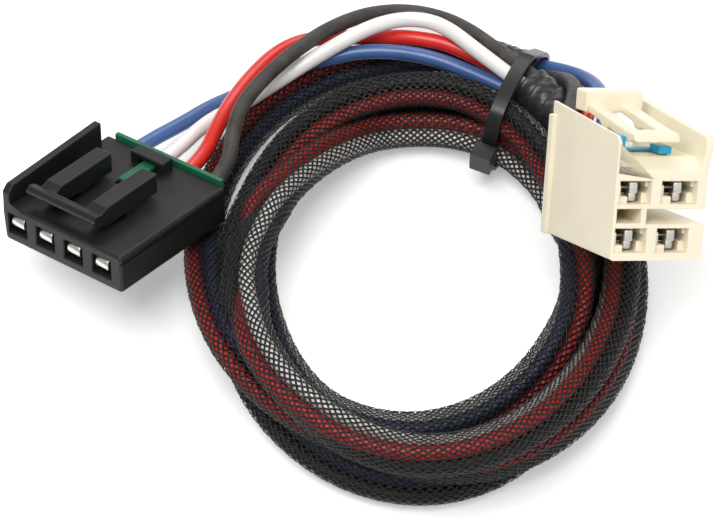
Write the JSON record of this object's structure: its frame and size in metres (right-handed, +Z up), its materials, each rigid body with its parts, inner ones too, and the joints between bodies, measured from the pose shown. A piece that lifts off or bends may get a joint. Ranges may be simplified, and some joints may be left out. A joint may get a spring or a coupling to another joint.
{
  "type": "trailer brake controller wiring adapter harness",
  "caption": "Plug-in adapter harness: braided sleeve of coloured wires in a tied coil, with a flat latching plug at one end and a block plug at the other.",
  "frame": {"origin": "middle of the underside of the whole harness's bounding box, on the plane it lies on", "axes": "+X from the black controller-end plug towards the ivory vehicle-end plug, +Y away from the viewer across the coil, +Z up out of the coil"},
  "size_m": [0.1556, 0.1376, 0.0645],
  "materials": {
    "black_plug": "fine-textured moulded black plastic, slightly satin",
    "green_lock": "moulded green plastic, satin",
    "ivory_plug": "smooth moulded ivory plastic, satin",
    "cyan_lock": "moulded sky-blue plastic, satin",
    "tinned_terminal": "tin-plated stamped metal",
    "insulation_blue": "extruded insulation, satin",
    "insulation_white": "extruded insulation, satin",
    "insulation_red": "extruded insulation, satin",
    "insulation_black": "extruded insulation, dusty satin",
    "braided_sleeve": "open expandable braid of black monofilament over four coloured wires",
    "black_tape": "wound vinyl tape, soft sheen",
    "tie_nylon": "moulded black nylon"
  },
  "bodies": {
    "root": {"controller_plug_housing": "black_plug", "vehicle_plug_housing": "ivory_plug", "sleeve_coil": "braided_sleeve", "tape_wrap_controller_end": "black_tape", "tape_wrap_vehicle_end": "black_tape", "cable_tie": "tie_nylon", "controller_terminal_blue": "tinned_terminal", "vehicle_terminal_blue": "tinned_terminal", "wire_blue": "insulation_blue", "vehicle_lead_blue": "insulation_blue", "controller_terminal_white": "tinned_terminal", "vehicle_terminal_white": "tinned_terminal", "wire_white": "insulation_white", "vehicle_lead_white": "insulation_white", "controller_terminal_red": "tinned_terminal", "vehicle_terminal_red": "tinned_terminal", "wire_red": "insulation_red", "vehicle_lead_red": "insulation_red", "controller_terminal_black": "tinned_terminal", "vehicle_terminal_black": "tinned_terminal", "wire_black": "insulation_black", "vehicle_lead_black": "insulation_black"},
    "controller_latch": {"controller_plug_latch": "black_plug"},
    "controller_lock": {"controller_plug_lock_bar": "green_lock"},
    "vehicle_latch": {"vehicle_plug_latch": "ivory_plug"},
    "vehicle_lock": {"vehicle_plug_lock": "cyan_lock"}
  },
  "joints": [
    {"name": "controller_latch_tilt", "type": "hinge", "parent": "root", "child": "controller_latch", "pos_m": [-0.05534, -0.00086, 0.02506], "axis": [0.7866, -0.5817, 0.2069], "range_deg": [-6, 2], "stiffness_Nm_per_rad": 0.4},
    {"name": "controller_lock_slide", "type": "slide", "parent": "root", "child": "controller_lock", "axis": [0.6174, 0.7412, -0.2636], "range_m": [0, 0.003]},
    {"name": "vehicle_latch_tilt", "type": "hinge", "parent": "root", "child": "vehicle_latch", "pos_m": [0.06053, -0.00071, 0.05078], "axis": [0.9256, 0.2244, -0.3049], "range_deg": [-5, 1.5], "stiffness_Nm_per_rad": 0.4},
    {"name": "vehicle_lock_slide", "type": "slide", "parent": "root", "child": "vehicle_lock", "axis": [-0.3728, 0.6805, -0.6308], "range_m": [0, 0.0025]}
  ]
}
